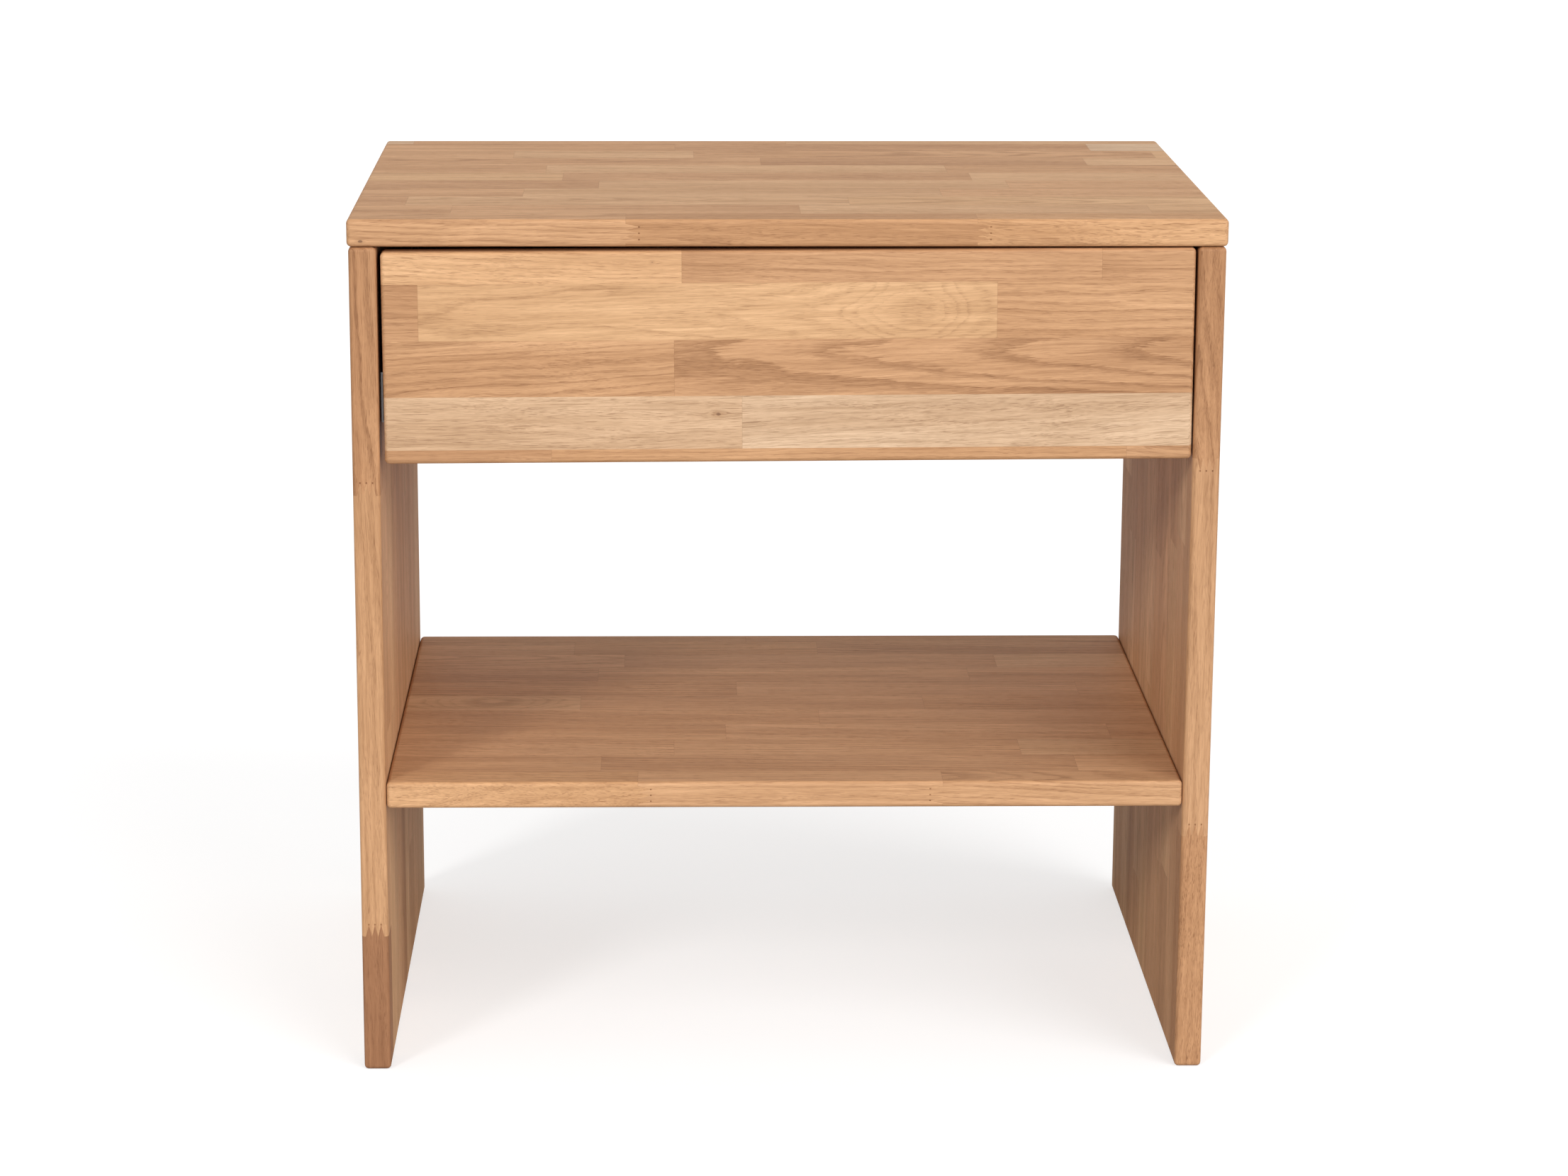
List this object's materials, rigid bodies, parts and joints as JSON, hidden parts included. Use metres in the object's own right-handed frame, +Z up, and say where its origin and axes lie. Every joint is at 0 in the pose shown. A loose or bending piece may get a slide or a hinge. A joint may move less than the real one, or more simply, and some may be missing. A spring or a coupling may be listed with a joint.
{
  "type": "nightstand",
  "caption": "Bedside table of laminated oak boards with a drawer on ball-bearing slides above an open shelf.",
  "frame": {"origin": "on the floor, under the middle of the table's bounding box", "axes": "+Z up, the drawer opens towards -Y, and +X is to the right as seen from the front"},
  "size_m": [0.6, 0.4, 0.612],
  "materials": {
    "oak": "oiled oak, satin, laminated from staves about 39 mm wide",
    "box_wood": "plain sanded oak, lacquered thinly",
    "plywood": "oak-faced plywood",
    "beech_dowel": "plain beech",
    "zinc_steel": "bright zinc-plated steel",
    "ball_steel": "polished steel balls in a thin steel cage"
  },
  "bodies": {
    "cabinet": {"back_rail": "oak", "left_side_panel": "oak", "left_slide_outer_rail": "zinc_steel", "left_slide_outer_rail_screw_back": "zinc_steel", "left_slide_outer_rail_screw_front": "zinc_steel", "rail_left_dowel_lower": "beech_dowel", "rail_left_dowel_upper": "beech_dowel", "rail_right_dowel_lower": "beech_dowel", "rail_right_dowel_upper": "beech_dowel", "right_side_panel": "oak", "right_slide_outer_rail": "zinc_steel", "right_slide_outer_rail_screw_back": "zinc_steel", "right_slide_outer_rail_screw_front": "zinc_steel", "shelf_left_dowel_back": "beech_dowel", "shelf_left_dowel_front": "beech_dowel", "shelf_left_dowel_middle": "beech_dowel", "shelf_panel": "oak", "shelf_right_dowel_back": "beech_dowel", "shelf_right_dowel_front": "beech_dowel", "shelf_right_dowel_middle": "beech_dowel", "top_left_dowel_back": "beech_dowel", "top_left_dowel_front": "beech_dowel", "top_left_dowel_middle": "beech_dowel", "top_panel": "oak", "top_right_dowel_back": "beech_dowel", "top_right_dowel_front": "beech_dowel", "top_right_dowel_middle": "beech_dowel"},
    "drawer": {"drawer_bottom": "plywood", "drawer_box_back": "box_wood", "drawer_box_front": "box_wood", "drawer_front": "oak", "drawer_front_screw_left_lower": "zinc_steel", "drawer_front_screw_left_upper": "zinc_steel", "drawer_front_screw_right_lower": "zinc_steel", "drawer_front_screw_right_upper": "zinc_steel", "drawer_left_side": "box_wood", "drawer_right_side": "box_wood", "left_slide_inner_rail": "zinc_steel", "left_slide_inner_rail_screw_back": "zinc_steel", "left_slide_inner_rail_screw_front": "zinc_steel", "right_slide_inner_rail": "zinc_steel", "right_slide_inner_rail_screw_back": "zinc_steel", "right_slide_inner_rail_screw_front": "zinc_steel"},
    "left_inner_ball_cage": {"left_slide_inner_ball_cage": "ball_steel"},
    "left_middle_rail": {"left_slide_middle_rail": "zinc_steel"},
    "left_outer_ball_cage": {"left_slide_outer_ball_cage": "ball_steel"},
    "right_inner_ball_cage": {"right_slide_inner_ball_cage": "ball_steel"},
    "right_middle_rail": {"right_slide_middle_rail": "zinc_steel"},
    "right_outer_ball_cage": {"right_slide_outer_ball_cage": "ball_steel"}
  },
  "joints": [
    {"name": "drawer_slide", "type": "slide", "parent": "cabinet", "child": "drawer", "axis": [0, -1, 0], "range_m": [0, 0.35]},
    {"name": "left_middle_rail_slide", "type": "slide", "parent": "cabinet", "child": "left_middle_rail", "axis": [0, -1, 0], "range_m": [0, 0.175]},
    {"name": "left_outer_ball_cage_slide", "type": "slide", "parent": "cabinet", "child": "left_outer_ball_cage", "axis": [0, -1, 0], "range_m": [0, 0.0875]},
    {"name": "left_inner_ball_cage_slide", "type": "slide", "parent": "cabinet", "child": "left_inner_ball_cage", "axis": [0, -1, 0], "range_m": [0, 0.2625]},
    {"name": "right_middle_rail_slide", "type": "slide", "parent": "cabinet", "child": "right_middle_rail", "axis": [0, -1, 0], "range_m": [0, 0.175]},
    {"name": "right_outer_ball_cage_slide", "type": "slide", "parent": "cabinet", "child": "right_outer_ball_cage", "axis": [0, -1, 0], "range_m": [0, 0.0875]},
    {"name": "right_inner_ball_cage_slide", "type": "slide", "parent": "cabinet", "child": "right_inner_ball_cage", "axis": [0, -1, 0], "range_m": [0, 0.2625]}
  ],
  "couplings": [
    {"joint": "left_middle_rail_slide", "follows": "drawer_slide", "ratio": 0.5},
    {"joint": "left_outer_ball_cage_slide", "follows": "drawer_slide", "ratio": 0.25},
    {"joint": "left_inner_ball_cage_slide", "follows": "drawer_slide", "ratio": 0.75},
    {"joint": "right_middle_rail_slide", "follows": "drawer_slide", "ratio": 0.5},
    {"joint": "right_outer_ball_cage_slide", "follows": "drawer_slide", "ratio": 0.25},
    {"joint": "right_inner_ball_cage_slide", "follows": "drawer_slide", "ratio": 0.75}
  ]
}
